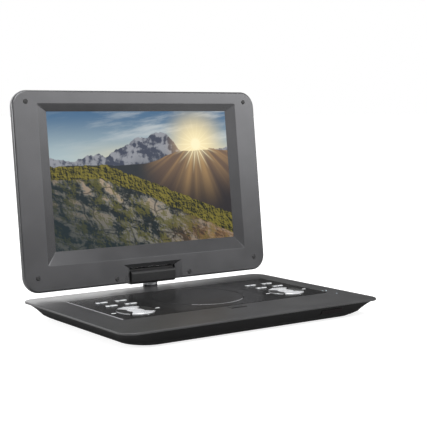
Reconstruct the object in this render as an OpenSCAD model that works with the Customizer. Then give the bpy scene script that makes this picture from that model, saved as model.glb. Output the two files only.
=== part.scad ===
// Portable DVD player with a large swivel screen: a flat flared base with a disc bay and keys,
// and a screen that tilts and swivels on a hinge block at the back of the base.
// Millimetres. X is to the right, Y to the back, Z up. The origin is on the surface that the
// feet stand on, under the middle of the base.

/* [Base] */
// Width of the base, left to right
base_w = 390; // [384:1:400]
// Depth of the base, front to back
base_d = 260; // [258:1:264]
// Corner radius of the base in plan
base_r = 18; // [14:1:22]
// How far the underside is set in from the rim at each side
side_inset = 23.5; // [22:0.5:26]
// How far the underside is set in from the rim at the front and back
end_inset = 16; // [14:0.5:18]
// Wall thickness of the mouldings
wall = 2; // [1.8:0.1:2.2]

/* [Disc bay] */
// Width of the lid over the disc
lid_w = 154; // [150:1:156]
// Radius of the bay that the disc lies in
well_r = 62.5; // [61.5:0.5:63.5]

/* [Keys] */
// Length of a pill-shaped key
pill_l = 16.5; // [14:0.5:18]
// Width of a pill-shaped key
pill_w = 5; // [4:0.5:6]
// Radius of a round navigation key
nav_r = 24; // [22:0.5:25]
// How far a key travels when it is pressed
key_travel = 0.8; // [0.5:0.1:1]

/* [Screen] */
// Width of the screen housing
screen_w = 391; // [384:1:396]
// Height of the screen housing
screen_h = 262; // [258:1:266]
// Corner radius of the screen housing
screen_r = 22; // [18:1:26]
// Width of the visible picture
picture_w = 290; // [280:1:294]
// Height of the visible picture
picture_h = 183.5; // [176:0.5:186]
// Angle that the screen leans back from upright
lean = 7.1; // [0:0.1:30]

/* [Hidden] */
$fn = 64;
hull_fn = 32;
eps = 0.02;

// Heights in the base, from the feet up
foot_h = 2;
floor_z = foot_h + wall;
swell_z = 7;
parting_z = 20;
rim_z = 23;
deck_z = 25;
deck_t = 2.2;
deck_under = deck_z - deck_t;

// Outline of the underside and of the swelling just above it
bottom_w = base_w - 2 * side_inset;
bottom_d = base_d - 2 * end_inset;
bottom_r = 36;
swell_w = base_w - 30;
swell_d = base_d - 20;
swell_r = 30;
lip = 3;

// Raised dark panel in the deck
panel_w = 316;
panel_front = -66;
panel_back = 75;
panel_y = (panel_front + panel_back) / 2;
panel_d = panel_back - panel_front;

// Lid, its hinge and the bay under it
gap = 0.3;
lid_x = lid_w / 2;
lid_front = panel_front;
lid_back = panel_back;
lid_slot_back = panel_back + 0.6;
lid_hinge_y = panel_back - 1.8;
lid_hinge_z = 23.6;
lid_pin_r = 1;
lid_pin_l = 3;
disc_y = 10;
rib_t = 4;
rib_z = 21.4;
well_t = 1.5;
well_floor_z = 14.5;
ring_r = 60;
hook_w = 10;
hook_z = 19.8;

// Disc drive
hub_hole_r = 17;
lens_slot_w = 24;
frame_x = [-37, 40];
frame_y = [-84, 37];
frame_z = 5;
frame_t = 1.2;
frame_top = frame_z + frame_t;
motor_r = 12;
motor_top = 12.6;
spindle_r = 1;
hub_z = 13.6;
hub_r = 7.3;
hub_flange_r = 14;
sled_y = -14;
sled_l = 16;
sled_travel = 34;
rod_x = 24;
rod_r = 1.5;
rod_z = 9.6;
holder_l = 4;
rod_y0 = sled_y - sled_l / 2 - sled_travel - holder_l - 2;
rod_y1 = sled_y + sled_l / 2 + holder_l + 10;
screw_x = 31;
screw_r = 1.25;
screw_y0 = rod_y0 + holder_l;
screw_y1 = rod_y1 - holder_l;
damper_at = [[-31, -68], [33, -78], [-31, 30], [33, 30]];
damper_r = 4;
damper_in = 2.5;
damper_top = 8;

// Fasteners
case_screw_at = [[-150, -92], [150, -92], [-150, 92], [150, 92], [-55, -98], [55, -98], [-55, 98], [55, 98]];
foot_at = [[-128, -98], [128, -98], [-128, 98], [128, 98]];
boss_r = 4.5;
boss_z = 16;
shank_r = 1.45;
tap_r = 1.5;
pass_r = 1.6;
head_r = 3;
head_h = 2;

// Keys: centres of the pill keys and of the two round keys
left_keys = [[-127, 38], [-99, 38], [-127, 13.5], [-99, 13.5]];
right_keys = [[106, 33], [134.5, 33], [106, 9], [134.5, 9]];
nav_x = 118;
nav_y = -28;
nav_in = 11;
ok_r = 10.4;
key_top = 26.2;
key_low = 21.3;
key_flange_top = deck_under - 0.1;
board_t = 1.6;
key_board_z = 17.4;
key_board_top = key_board_z + board_t;
key_board_y = [-58, 52];
key_board_x = [86, 152];
dome_h = 0.5;
dome_r = 2;
stem_z = key_board_top + dome_h + key_travel + 0.1;
light_at = [[161.5, -52], [168, -52], [165, -76]];
light_r = 1.2;

// Sliding latch in front of the lid
latch_y = -74.5;
latch_l = 8;
latch_w = 24;
latch_hook_w = 12;
latch_travel = 2.5;

// Bay for the sockets in the right-hand side
bay_x = base_w / 2 - 17;
bay_wall = 2;
bay_y0 = -84;
bay_y1 = 58;
bay_z0 = 6;
bay_z1 = 18;
port_z = 12.5;
port_back = bay_x - bay_wall;
port_cut = bay_x - 5;
window_x = [96, 130];
window_z = [10, 16];
main_board_z = 7.4;
main_board_top = main_board_z + board_t;
main_board_x = [94, port_back - 2.2];
main_board_y = [-73, bay_y1 - 1];
speaker_x = 110;
speaker_y = -90;
cell_w = 22.5;
headphone_y = -22;
av_y = -8;
usb_y = -39;
card_y = -65;
dc_y = 48;
switch_y = 31;
volume_y = 12;
volume_r = 8;
volume_x = bay_x - 6;
jack_r = 1.8;
jack_l = 13;
switch_travel = 3.6;

// Screen hinge
hinge_y = 124;
hinge_z = 38.5;
hinge_v = 8;
hinge_d = 10.5;
tower_r = 10;
tower_top = 25.6;
swivel_r = 5;
run_gap = 0.05;
flange_z0 = 25.9;
block_w = 72;
block_front = 10.3;
block_back = 9;
block_up = 8.5;
block_down = 9.4;
block_edge_r = 4;
block_hollow_x = 17;
cable_r = 2.2;
hump_r = 11.6;
hump_front = 4;
tilt_r = 3;
tilt_x0 = 22;
tilt_x1 = 54;
knuckle_r = 5.8;
knuckle_x0 = 40;
knuckle_x1 = 51;
nut_x = knuckle_x1 + 1.6;
nut_r = 5;
bracket_z = 18;
bracket_w = 52;
bracket_y = [98, 122.4];

// Panel framed by a fine groove in the middle of the underside
plate_x = 100;
plate_y = [-64, 26];
groove_w = 0.6;
groove_d = 0.5;

// Screen housing, in the screen's own frame: X across, Y back from the face, Z up from its lower edge
screen_t = 20;
bezel_t = 6;
recess_d = 5.4;
slope_w = 320;
slope_v = [33.5, 244.5];
picture_v = 51;
notch_w = 74;
notch_v = 20;
bevel_w = 94;
bevel_v = 25.5;
bevel_d = 3.4;
back_inset = 24;
back_low = 6;
barrel_r = 8;
barrel_x1 = 62;
dot_at = [[-176, 247], [176, 247], [-176, 19], [176, 19], [-59, 7.3], [59, 7.3]];
lcd_t = 2;
backlight_t = 4;
lcd_back = recess_d + lcd_t + backlight_t;

// ---- shared shapes ----

// Rectangle with round corners, centred
module rounded(w, d, r) {
    square([w - 2 * r, d], center = true);
    square([w, d - 2 * r], center = true);
    for (x = [-1, 1], y = [-1, 1]) translate([x * (w / 2 - r), y * (d / 2 - r)]) circle(r);
}

// The same, standing from z0 to z1
module plate(w, d, r, z0, z1) {
    translate([0, 0, z0]) linear_extrude(z1 - z0) rounded(w, d, r);
}

// Thin layer of an outline, for hulls
module layer(w, d, r, z) {
    translate([0, 0, z]) linear_extrude(eps) rounded(w, d, r, $fn = hull_fn);
}

// Box from its low corner to its high corner
module box(low, high) {
    translate(low) cube(high - low);
}

// Round bar along X from x0 to x1
module bar_x(x0, x1, y, z, r) {
    translate([x0, y, z]) rotate([0, 90, 0]) cylinder(h = x1 - x0, r = r);
}

// Round bar along Y from y0 to y1
module bar_y(y0, y1, x, z, r) {
    translate([x, y0, z]) rotate([-90, 0, 0]) cylinder(h = y1 - y0, r = r);
}

// Upright round bar
module post(at, r, z0, z1) {
    translate([at[0], at[1], z0]) cylinder(h = z1 - z0, r = r);
}

// ---- base ----

module base_skin() {
    hull() {
        layer(bottom_w, bottom_d, bottom_r, foot_h);
        layer(swell_w, swell_d, swell_r, swell_z);
        layer(base_w - 2 * lip, base_d - 2 * lip, base_r, parting_z - eps);
    }
}

module base_hollow() {
    hull() {
        layer(bottom_w - 2 * wall, bottom_d - 2 * wall, bottom_r - wall, floor_z);
        layer(swell_w - 4 * wall, swell_d - 3 * wall, swell_r - wall, swell_z + 1.5);
        layer(base_w - 2 * lip - 3 * wall, base_d - 2 * lip - 3 * wall, base_r - wall, parting_z + eps);
    }
}

module speaker_slots(x) {
    for (i = [-2:2])
        box([x - 10, speaker_y + 4 * i - 0.8, foot_h - 1], [x + 10, speaker_y + 4 * i + 0.8, floor_z + 1]);
}

// Fine groove round the middle panel of the underside
module plate_groove() {
    difference() {
        box([-plate_x - groove_w, plate_y[0] - groove_w, foot_h - 1],
            [plate_x + groove_w, plate_y[1] + groove_w, foot_h + groove_d]);
        box([-plate_x, plate_y[0], foot_h - 2], [plate_x, plate_y[1], foot_h + groove_d + 1]);
    }
}

module base_bottom_shell() {
    color("#2b2b2e") difference() {
        union() {
            difference() {
                base_skin();
                base_hollow();
            }
            intersection() {
                base_skin();
                box([port_back, bay_y0 - bay_wall, foot_h], [base_w, bay_y1 + bay_wall, parting_z]);
            }
            for (at = case_screw_at) post(at, boss_r, foot_h + 0.5, boss_z);
            for (x = [102, 166], y = [-68, 52]) post([x, y], 3, foot_h + 0.5, main_board_z);
            post([0, hinge_y], tower_r, 9, parting_z);
        }
        box([bay_x, bay_y0, bay_z0], [base_w, bay_y1, bay_z1]);
        box([-bracket_w / 2 - 0.5, bracket_y[0] - 1, bracket_z - 0.2],
            [bracket_w / 2 + 0.5, bracket_y[1] + 0.2, parting_z + 1]);
        post([0, hinge_y], tower_r - wall, 11, parting_z + 1);
        for (at = case_screw_at) {
            post(at, pass_r, foot_h - 1, boss_z + 1);
            post(at, head_r + 0.3, foot_h - 1, foot_h + 0.6 + head_h);
        }
        for (at = damper_at) post(at, shank_r + 0.05, foot_h + 0.6, floor_z + 1);
        for (i = [-3:3]) box([-20, 50 + 6 * i - 1, foot_h - 1], [20, 50 + 6 * i + 1, floor_z + 1]);
        for (s = [-1, 1]) speaker_slots(s * speaker_x);
        plate_groove();
        bar_x(port_cut, bay_x + 1, headphone_y, port_z, 3.1);
        bar_x(port_cut, bay_x + 1, av_y, port_z, 3.1);
        bar_x(port_cut, bay_x + 1, dc_y, port_z, 4.1);
        box([port_cut, usb_y - 6.8, port_z - 3], [bay_x + 1, usb_y + 6.8, port_z + 3]);
        box([port_cut, card_y - 13.7, port_z - 2.2], [bay_x + 1, card_y + 13.7, port_z + 2.2]);
        box([port_cut, switch_y - 3.3, port_z - 1.2], [bay_x + 1, switch_y + 3.3, port_z + 1.2]);
        box([port_cut, volume_y - 7.8, port_z - 1.7], [bay_x + 1, volume_y + 7.8, port_z + 1.7]);
        window_block(0.05);
    }
}

// Space of the remote-control window in the sloping front
module window_block(grow) {
    box([window_x[0] - grow, -base_d / 2 - 1, window_z[0] - grow],
        [window_x[1] + grow, -base_d / 2 + 14, window_z[1] + grow]);
}

module ir_window() {
    color("#101014") difference() {
        intersection() {
            base_skin();
            window_block(0);
        }
        base_hollow();
    }
}

module deck_skin() {
    plate(base_w, base_d, base_r, parting_z, rim_z);
    hull() {
        layer(base_w - 1, base_d - 1, base_r - 0.5, rim_z - 0.5);
        translate([0, panel_y, 0]) layer(panel_w, panel_d, 4, deck_z - eps);
    }
}

module deck_hollow() {
    hull() {
        layer(base_w - 2 * lip - 3 * wall, base_d - 2 * lip - 3 * wall, base_r - wall, parting_z - 1);
        layer(base_w - 2 * lip - 3 * wall, base_d - 2 * lip - 3 * wall, base_r - wall, rim_z - deck_t);
        translate([0, panel_y, 0]) layer(panel_w, panel_d, 4, deck_under - eps);
    }
}

module pill(at, w, l, z0, z1) {
    translate([at[0], at[1], 0]) plate(l, w, w / 2 - 0.1, z0, z1);
}

module lid_opening(grow, z0, z1) {
    box([-lid_x - gap - grow, lid_front - gap - grow, z0], [lid_x + gap + grow, lid_slot_back + grow, z1]);
}

module base_top_shell() {
    color("#333338") difference() {
        union() {
            difference() {
                deck_skin();
                deck_hollow();
            }
            lid_opening(rib_t, rib_z, deck_under + 0.5);
            post([0, hinge_y], tower_r, parting_z, tower_top);
            for (at = case_screw_at) post(at, boss_r - 0.5, boss_z, deck_under - 0.6);
            for (s = [-1, 1], x = [90, 148], y = [-54, 48])
                post([s * x, y], 2.5, key_board_top, deck_under + 0.5);
        }
        lid_opening(0, rib_z - 1, deck_z + 1);
        for (s = [-1, 1])
            bar_x(s * (lid_x + 1.8) - 1.8, s * (lid_x + 1.8) + 1.8, lid_hinge_y, lid_hinge_z, lid_pin_r + run_gap);
        post([0, hinge_y], swivel_r + 0.3, parting_z - 1, tower_top + 1);
        for (at = case_screw_at) post(at, tap_r, boss_z - 1, boss_z + 5);
        for (at = concat(left_keys, right_keys)) pill(at, pill_w + 0.6, pill_l + 0.6, parting_z, deck_z + 1);
        for (s = [-1, 1]) post([s * nav_x, nav_y], nav_r + 0.4, parting_z, deck_z + 1);
        latch_slot();
        for (at = light_at) post(at, light_r + run_gap, parting_z, deck_z + 1);
    }
}

// Slot that the latch's pad slides in
module latch_slot() {
    box([-latch_w / 2 - gap, latch_y - latch_l / 2 - latch_travel - gap, rib_z - 1],
        [latch_w / 2 + gap, latch_y + latch_l / 2 + gap, deck_z + 1]);
    box([-6.3, latch_y, rib_z - 1], [6.3, lid_front, deck_under - 0.1]);
}

module indicator_lights() {
    color("#cfe8ff") for (at = light_at) post(at, light_r, 21.5, 24.7);
}

module rubber_feet() {
    color("#1a1a1a") for (at = foot_at) translate([at[0], at[1], 0]) rotate_extrude()
        polygon([[0, 0], [6, 0], [7, 1], [7, foot_h], [0, foot_h]]);
}

module case_screws() {
    color("#8a8a90") for (at = case_screw_at) difference() {
        union() {
            post(at, shank_r, foot_h + 0.6, boss_z + 4.5);
            post(at, head_r, foot_h + 0.6, foot_h + 0.6 + head_h);
        }
        translate([at[0], at[1], foot_h + 0.9]) cube([3.4, 0.7, 1.2], center = true);
        translate([at[0], at[1], foot_h + 0.9]) cube([0.7, 3.4, 1.2], center = true);
    }
}

// ---- disc bay and drive ----

module disc_well() {
    color("#3c3c40") difference() {
        union() {
            lid_opening(rib_t, rib_z - well_t, rib_z);
            post([0, disc_y], well_r + well_t, well_floor_z - well_t, rib_z);
        }
        post([0, disc_y], well_r, well_floor_z, rib_z + 1);
        post([0, disc_y], hub_hole_r, well_floor_z - 3, well_floor_z + 1);
        box([-lens_slot_w / 2, disc_y - well_r - 2, well_floor_z - 3],
            [lens_slot_w / 2, disc_y, well_floor_z + 0.6]);
        box([-6.3, lid_front - 6, rib_z - 3], [6.3, lid_front + 4, rib_z + 1]);
    }
}

module disc_lid() {
    color("#26262a") difference() {
        union() {
            box([-lid_x, lid_front, deck_under], [lid_x, lid_back, deck_z]);
            bar_x(-lid_x - lid_pin_l, -lid_x + 0.2, lid_hinge_y, lid_hinge_z, lid_pin_r);
            bar_x(lid_x - 0.2, lid_x + lid_pin_l, lid_hinge_y, lid_hinge_z, lid_pin_r);
            box([-hook_w / 2, lid_front + 1, hook_z], [hook_w / 2, lid_front + 2.6, deck_under + 0.5]);
        }
        difference() {
            post([0, disc_y], ring_r + 0.6, deck_z - 0.5, deck_z + 1);
            post([0, disc_y], ring_r - 0.6, deck_z - 1, deck_z + 2);
        }
        box([-3.5, lid_front - 1, rib_z - 1], [3.5, lid_front + 3, rib_z]);
    }
}

module lid_latch() {
    color("#333338") union() {
        box([-latch_w / 2, latch_y - latch_l / 2, deck_under - 0.4],
            [latch_w / 2, latch_y + latch_l / 2, deck_z - 0.25]);
        for (i = [-1:1]) box([-8, latch_y + 2 * i - 0.4, 24.7], [8, latch_y + 2 * i + 0.4, 25]);
        box([-latch_hook_w / 2, latch_y - 3, rib_z - 0.5], [latch_hook_w / 2, latch_y + 5, deck_under - 0.3]);
        box([-3, latch_y + 4, rib_z - 0.5], [3, lid_front + 0.6, rib_z + 0.1]);
    }
}

module loader_frame() {
    color("#a9abb0") difference() {
        union() {
            box([frame_x[0], frame_y[0], frame_z], [frame_x[1], frame_y[1], frame_top]);
            for (x = [-rod_x, rod_x], y = [rod_y0, rod_y1 - holder_l])
                box([x - 3, y, frame_z + 0.5], [x + 3, y + holder_l, rod_z + 2.6]);
            box([screw_x - 2.4, screw_y1 - 3, frame_z + 0.5], [screw_x + 2.4, screw_y1, rod_z + 2.4]);
            box([screw_x - 4.5, screw_y0 - 2, frame_z + 0.5], [screw_x + 4.5, screw_y0, rod_z + 4]);
        }
        for (x = [-rod_x, rod_x]) bar_y(rod_y0 - 1, rod_y1 + 1, x, rod_z, rod_r);
        bar_y(screw_y0 - 3, screw_y1 + 1, screw_x, rod_z, screw_r + run_gap);
        for (at = damper_at) post(at, damper_in, frame_z - 1, frame_top + 1);
        post([0, disc_y], 3, frame_z - 1, frame_top + 1);
    }
}

module loader_dampers() {
    color("#303030") for (at = damper_at) translate([at[0], at[1], 0]) rotate_extrude()
        polygon([[1.7, floor_z], [damper_r, floor_z], [damper_r, frame_z], [damper_in, frame_z],
            [damper_in, frame_top], [damper_r, frame_top], [damper_r, damper_top], [1.7, damper_top]]);
}

module loader_screws() {
    color("#8a8a90") for (at = damper_at) union() {
        post(at, shank_r, foot_h + 0.6, damper_top + 0.5);
        post(at, head_r + 0.5, damper_top, damper_top + 1.6);
    }
}

module spindle_motor() {
    color("#9a9ca2") difference() {
        union() {
            post([0, disc_y], motor_r, frame_top, motor_top - 1);
            post([0, disc_y], 6, frame_top, motor_top);
        }
        post([0, disc_y], spindle_r + run_gap, frame_top + 0.6, motor_top + 1);
    }
}

module spindle_hub() {
    color("#2a2a2d") difference() {
        union() {
            post([0, disc_y], spindle_r, frame_top + 0.8, hub_z + 0.4);
            post([0, disc_y], hub_flange_r, hub_z, hub_z + 2.6);
            post([0, disc_y], hub_r, hub_z + 2.6, hub_z + 4.8);
            translate([0, disc_y, hub_z + 4.8]) cylinder(h = 0.9, r1 = hub_r, r2 = hub_r - 1.1);
        }
        for (a = [0:120:240]) translate([0, disc_y, hub_z + 3.2]) rotate([0, 0, a])
            translate([hub_r - 0.7, -1.5, 0]) cube([2, 3, 1.2]);
    }
}

module guide_rods() {
    color("#c8cacd") for (x = [-rod_x, rod_x]) bar_y(rod_y0, rod_y1, x, rod_z, rod_r);
}

module pickup_sled() {
    color("#46484d") difference() {
        union() {
            box([-rod_x - 3.4, sled_y - sled_l / 2, 6.8], [rod_x + 3, sled_y + sled_l / 2, 12.3]);
            box([rod_x + 3, sled_y - 4, 7.2], [screw_x + 2.8, sled_y + 4, 12]);
            post([0, sled_y], 5.4, 12.3, 14);
            post([0, sled_y], 3.4, 14, 15);
        }
        for (x = [-rod_x, rod_x]) bar_y(sled_y - sled_l, sled_y + sled_l, x, rod_z, rod_r + run_gap);
        bar_y(sled_y - sled_l, sled_y + sled_l, screw_x, rod_z, screw_r + run_gap);
        post([0, sled_y], 2.2, 14.6, 16);
    }
}

module lead_screw() {
    color("#c8cacd") bar_y(screw_y0 - 1.5, screw_y1 - 0.2, screw_x, rod_z, screw_r);
}

module sled_motor() {
    color("#9a9ca2") difference() {
        bar_y(screw_y0 - 16, screw_y0 - 2, screw_x, rod_z, 3.3);
        bar_y(screw_y0 - 5, screw_y0, screw_x, rod_z, screw_r + run_gap);
    }
}

// ---- inside the base ----

module main_board() {
    color("#1f5c33") union() {
        box([main_board_x[0], main_board_y[0], main_board_z],
            [main_board_x[1], main_board_y[1], main_board_top]);
        box([108, -30, main_board_top - 0.2], [128, -10, main_board_top + 1.4]);
        box([136, 10, main_board_top - 0.2], [148, 20, main_board_top + 1.2]);
        for (i = [0:3]) post([112 + 9 * i, 42], 3, main_board_top - 0.2, main_board_top + 5);
    }
}

module battery_pack() {
    color("#4477aa") for (i = [0:2])
        translate([-160 + (cell_w + 0.5) * i, -66, floor_z]) cube([cell_w, 122, 10.5]);
}

// Board under a group of keys, on the side given by s, with a switch dome under each key
module key_board(s, keys) {
    color("#1f5c33") union() {
        box([s > 0 ? key_board_x[0] : -key_board_x[1], key_board_y[0], key_board_z],
            [s > 0 ? key_board_x[1] : -key_board_x[0], key_board_y[1], key_board_top]);
        for (at = keys) post(at, dome_r, key_board_top - 0.2, key_board_top + dome_h);
        for (a = [0:90:270])
            translate([s * nav_x, nav_y])
                post([17 * cos(a), 17 * sin(a)], dome_r, key_board_top - 0.2, key_board_top + dome_h);
    }
}

module speaker(x) {
    color("#55565a") difference() {
        union() {
            post([x, speaker_y], 15, floor_z, floor_z + 3);
            post([x, speaker_y], 8, floor_z + 3, floor_z + 8);
        }
        translate([x, speaker_y, floor_z - eps]) cylinder(h = 2, r1 = 13, r2 = 5);
    }
}

// ---- keys ----

module pill_key(at) {
    color("#d6d7da") union() {
        pill(at, pill_w, pill_l, key_low, key_top);
        pill(at, pill_w + 1.8, pill_l + 1.8, key_low, key_flange_top);
        post(at, 1.2, stem_z, key_low);
    }
}

module nav_ring(s) {
    color("#d6d7da") difference() {
        union() {
            post([s * nav_x, nav_y], nav_r + 1.5, key_low, key_flange_top);
            post([s * nav_x, nav_y], nav_r, key_low, key_top);
        }
        post([s * nav_x, nav_y], nav_in, key_low - 1, key_top + 1);
        for (a = [45, 135]) translate([s * nav_x, nav_y, 24.4]) rotate([0, 0, a])
            translate([-nav_r - 2, -1.25, 0]) cube([2 * nav_r + 4, 2.5, 4]);
    }
}

module ok_key(s) {
    color("#d6d7da") post([s * nav_x, nav_y], ok_r, stem_z, key_top - 0.3);
}

// ---- sockets and controls in the right-hand bay ----

module jack(y, tint) {
    color(tint) difference() {
        union() {
            box([port_back - 13, y - 3.5, main_board_top], [port_back, y + 3.5, port_z + 3.5]);
            bar_x(port_back - 1, bay_x + 0.6, y, port_z, 3);
        }
        bar_x(bay_x + 0.6 - jack_l, bay_x + 2, y, port_z, jack_r);
    }
}

module dc_inlet() {
    color("#202022") difference() {
        union() {
            box([port_back - 12, dc_y - 4.6, main_board_top], [port_back, dc_y + 4.6, port_z + 4.4]);
            bar_x(port_back - 1, bay_x + 0.4, dc_y, port_z, 4);
        }
        difference() {
            bar_x(bay_x - 9.6, bay_x + 2, dc_y, port_z, 2.85);
            bar_x(bay_x - 11, bay_x - 0.8, dc_y, port_z, 1);
        }
    }
}

module usb_port() {
    color("#b9bbc0") difference() {
        box([port_back - 12, usb_y - 6.6, port_z - 2.8], [bay_x + 0.3, usb_y + 6.6, port_z + 2.8]);
        difference() {
            box([port_back - 11, usb_y - 6.2, port_z - 2.4], [bay_x + 1, usb_y + 6.2, port_z + 2.4]);
            box([port_back - 12, usb_y - 5.4, port_z - 0.2], [bay_x - 1.5, usb_y + 5.4, port_z + 1.6]);
        }
    }
}

module card_slot() {
    color("#b9bbc0") difference() {
        box([port_back - 26, card_y - 13.5, port_z - 2], [bay_x + 0.2, card_y + 13.5, port_z + 2]);
        box([port_back - 25, card_y - 12.3, port_z - 1.2], [bay_x + 1, card_y + 12.3, port_z + 1.2]);
    }
}

module power_switch() {
    color("#b9bbc0") difference() {
        box([port_back - 8, switch_y - 6, main_board_top], [port_back, switch_y + 6, port_z + 2.5]);
        box([port_back - 4, switch_y - 3.3, port_z - 1.2], [bay_x, switch_y + 3.3, port_z + 1.2]);
    }
}

module power_knob() {
    color("#202022") translate([0, switch_y - switch_travel / 2, 0]) union() {
        box([port_back - 3.5, -1.2, port_z - 0.9], [bay_x + 0.4, 1.2, port_z + 0.9]);
        box([bay_x + 0.3, -3.4, port_z - 2], [bay_x + 2.6, 3.4, port_z + 2]);
    }
}

module volume_pot() {
    color("#3a3a3e") union() {
        post([volume_x, volume_y], 3.5, main_board_top, port_z - 1.6);
        post([volume_x, volume_y], 1, main_board_top, port_z + 2);
    }
}

module volume_wheel() {
    color("#202022") difference() {
        post([volume_x, volume_y], volume_r, port_z - 1.3, port_z + 1.3);
        post([volume_x, volume_y], 1 + run_gap, port_z - 2, port_z + 2);
        for (a = [0:15:345]) translate([volume_x, volume_y, port_z]) rotate([0, 0, a])
            translate([volume_r, 0, 0]) cube([0.8, 0.8, 4], center = true);
    }
}

// ---- swivel and tilt hinge ----

module swivel_bracket() {
    color("#8f9197") difference() {
        union() {
            box([-bracket_w / 2, bracket_y[0], bracket_z], [bracket_w / 2, bracket_y[1], parting_z]);
            post([0, hinge_y], tower_r - wall - 0.2, bracket_z, parting_z);
        }
        post([0, hinge_y], swivel_r + run_gap, bracket_z - 1, parting_z + 1);
        for (x = [-20, 20]) post([x, 105], pass_r, bracket_z - 1, parting_z + 1);
    }
}

module swivel_shaft() {
    color("#6e7076") difference() {
        union() {
            post([0, hinge_y], swivel_r, 13.5, flange_z0 + 0.5);
            post([0, hinge_y], tower_r, flange_z0, hinge_z - block_down);
        }
        post([0, hinge_y], swivel_r - 2, 12, 40);
        difference() {
            post([0, hinge_y], swivel_r + 1, 15.8, 16.8);
            post([0, hinge_y], swivel_r - 0.8, 15, 17.5);
        }
    }
}

module swivel_washer() {
    color("#c8cacd") difference() {
        post([0, hinge_y], tower_r - wall - 0.6, 16.9, bracket_z);
        post([0, hinge_y], swivel_r + 0.15, 16, bracket_z + 1);
    }
}

module swivel_clip() {
    color("#55565a") difference() {
        post([0, hinge_y], tower_r - wall - 0.8, 15.8, 16.8);
        post([0, hinge_y], swivel_r - 0.8, 15, 18);
    }
}

// Rounded bar with a low hump along its top, which fills the notch in the screen at every angle of tilt
module hinge_block() {
    color("#26262a") difference() {
        union() {
            translate([-block_w / 2, hinge_y, hinge_z]) rotate([90, 0, 90]) linear_extrude(block_w)
                translate([(block_back - block_front) / 2, (block_up - block_down) / 2])
                rounded(block_front + block_back, block_up + block_down, block_edge_r);
            intersection() {
                bar_x(-block_w / 2, block_w / 2, hinge_y, hinge_z, hump_r);
                box([-block_w / 2, hinge_y - hump_front, hinge_z],
                    [block_w / 2, hinge_y + block_back - block_edge_r, hinge_z + hump_r + 1]);
            }
        }
        box([-block_hollow_x, hinge_y - 6, hinge_z - 6], [block_hollow_x, hinge_y + 6, hinge_z + 6]);
        post([0, hinge_y], swivel_r - 2, hinge_z - block_down - 1, hinge_z - 5);
        bar_x(-block_w / 2 - 1, block_w / 2 + 1, hinge_y, hinge_z, tilt_r);
    }
}

module tilt_shafts() {
    color("#c8cacd") for (s = [-1, 1]) bar_x(min(s * tilt_x0, s * tilt_x1), max(s * tilt_x0, s * tilt_x1),
        hinge_y, hinge_z, tilt_r);
}

module tilt_nuts() {
    color("#8a8a90") for (s = [-1, 1]) difference() {
        bar_x(s * nut_x - 1.3, s * nut_x + 1.3, hinge_y, hinge_z, nut_r);
        bar_x(s * nut_x - 3, s * nut_x + 3, hinge_y, hinge_z, tilt_r);
    }
}

module hinge_cable() {
    color("#202022") union() {
        post([0, hinge_y], cable_r, 12.5, hinge_z - 2);
        bar_x(-12, 12, hinge_y, hinge_z - 3, cable_r);
    }
}

// Places the screen's own frame on the hinge, leaning back
module in_screen() {
    translate([0, hinge_y, hinge_z]) rotate([-lean, 0, 0]) translate([0, -hinge_d, -hinge_v]) children();
}

// Upright slab in the screen's frame, from depth d0 to d1, its lower edge at height v
module slab(w, h, r, v, d0, d1) {
    translate([0, d1, v + h / 2]) rotate([90, 0, 0]) linear_extrude(d1 - d0) rounded(w, h, r);
}

module thin_slab(w, h, r, v, d) {
    translate([0, d + eps, v + h / 2]) rotate([90, 0, 0]) linear_extrude(eps) rounded(w, h, r, $fn = hull_fn);
}

// Round bar along the screen's depth
module stud(at, r, d0, d1) {
    translate([at[0], d1, at[1]]) rotate([90, 0, 0]) cylinder(h = d1 - d0, r = r);
}

module tilt_brackets() {
    color("#8f9197") in_screen() for (s = [-1, 1]) difference() {
        union() {
            bar_x(s * (knuckle_x0 + knuckle_x1) / 2 - 5.5, s * (knuckle_x0 + knuckle_x1) / 2 + 5.5,
                hinge_d, hinge_v, knuckle_r);
            box([min(s * 40, s * 51), 13.6, hinge_v], [max(s * 40, s * 51), 16, 62]);
            box([min(s * 40, s * 78), 13.6, 44], [max(s * 40, s * 78), 16, 62]);
        }
        bar_x(s * 45 - 12, s * 45 + 12, hinge_d, hinge_v, tilt_r + run_gap);
        stud([s * 70, 53], 1.6, 12, 18);
    }
}

module notch() {
    box([-notch_w / 2, -5, -5], [notch_w / 2, screen_t + 5, notch_v]);
}

// Sloping edge round the notch in the front face
module notch_bevel() {
    hull() {
        translate([-bevel_w / 2, -eps, -5]) cube([bevel_w, eps, bevel_v + 5]);
        translate([-notch_w / 2, bevel_d, -5]) cube([notch_w, eps, notch_v + 5]);
    }
}

module screen_bezel() {
    color("#5a5b60") in_screen() difference() {
        union() {
            difference() {
                slab(screen_w, screen_h, screen_r, 0, 0, bezel_t);
                slab(screen_w - 2 * wall, screen_h - 2 * wall, screen_r - wall, wall, wall, bezel_t + 1);
            }
            hull() {
                thin_slab(slope_w + 4, slope_v[1] - slope_v[0] + 4, 1, slope_v[0] - 2, wall - 0.2);
                thin_slab(picture_w + 8, picture_h + 8, 1, picture_v - 4, recess_d - eps);
            }
            box([-bevel_w / 2 - wall, 0.5, 0.5], [bevel_w / 2 + wall, bezel_t, bevel_v + wall]);
            for (at = dot_at) stud(at, 4.2, 0.5, bezel_t);
        }
        hull() {
            thin_slab(slope_w, slope_v[1] - slope_v[0], 0.5, slope_v[0], -eps);
            thin_slab(picture_w, picture_h, 0.5, picture_v, recess_d);
        }
        notch();
        notch_bevel();
        for (at = dot_at) {
            stud(at, 3.1, -1, 3);
            stud(at, pass_r, -1, bezel_t + 1);
        }
        bar_x(-65, 65, hinge_d, hinge_v, knuckle_r + 0.3);
    }
}

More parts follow.
